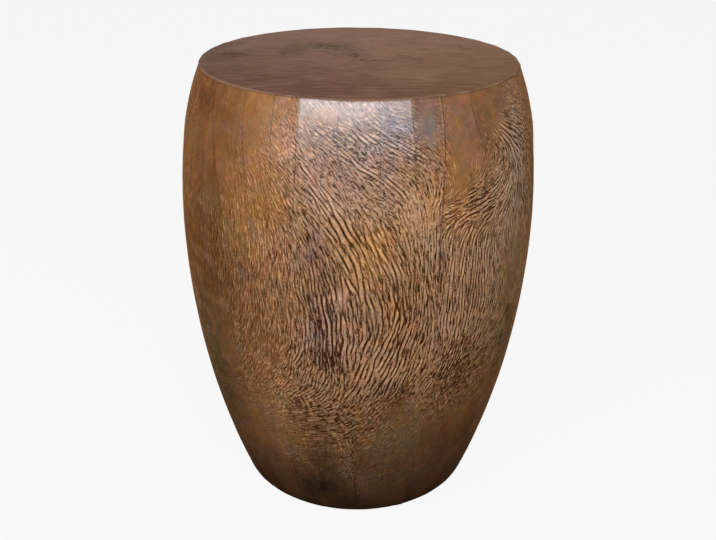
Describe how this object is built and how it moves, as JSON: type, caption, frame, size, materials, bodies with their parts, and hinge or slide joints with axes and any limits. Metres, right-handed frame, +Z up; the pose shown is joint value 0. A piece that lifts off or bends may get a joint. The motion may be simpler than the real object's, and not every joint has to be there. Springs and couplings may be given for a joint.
{
  "type": "drum side table",
  "caption": "Barrel-shaped side table with a round closed top: a coopered wooden core clad in thin copper-toned sheet metal embossed with a wood-grain figure.",
  "frame": {"origin": "on the floor, on the table's vertical axis", "axes": "+Z up along the table's axis; -Y is the front that the picture shows; +X is to the right of that view"},
  "size_m": [0.4023, 0.4023, 0.508],
  "materials": {
    "embossed_sheet": "embossed, patinated brown in the recesses and lacquered, satin",
    "core_wood": "sawn softwood, bare",
    "plywood": "sanded plywood, bare",
    "glide_plastic": "moulded nylon, dark brown"
  },
  "bodies": {
    "root": {"core_stave_01": "core_wood", "core_stave_02": "core_wood", "core_stave_03": "core_wood", "core_stave_04": "core_wood", "core_stave_05": "core_wood", "core_stave_06": "core_wood", "core_stave_07": "core_wood", "core_stave_08": "core_wood", "core_stave_09": "core_wood", "core_stave_10": "core_wood", "core_stave_11": "core_wood", "core_stave_12": "core_wood", "core_stave_13": "core_wood", "core_stave_14": "core_wood", "core_stave_15": "core_wood", "core_stave_16": "core_wood", "core_stave_17": "core_wood", "core_stave_18": "core_wood", "core_stave_19": "core_wood", "core_stave_20": "core_wood", "core_stave_21": "core_wood", "core_stave_22": "core_wood", "core_stave_23": "core_wood", "core_stave_24": "core_wood", "core_stave_25": "core_wood", "core_stave_26": "core_wood", "core_stave_27": "core_wood", "core_stave_28": "core_wood", "core_stave_29": "core_wood", "core_stave_30": "core_wood", "top_panel": "plywood", "middle_former": "plywood", "base_panel": "plywood", "side_sheet_front": "embossed_sheet", "side_sheet_back": "embossed_sheet", "side_sheet_right": "embossed_sheet", "top_sheet": "embossed_sheet", "glide_1": "glide_plastic", "glide_2": "glide_plastic", "glide_3": "glide_plastic", "glide_4": "glide_plastic"}
  },
  "joints": []
}
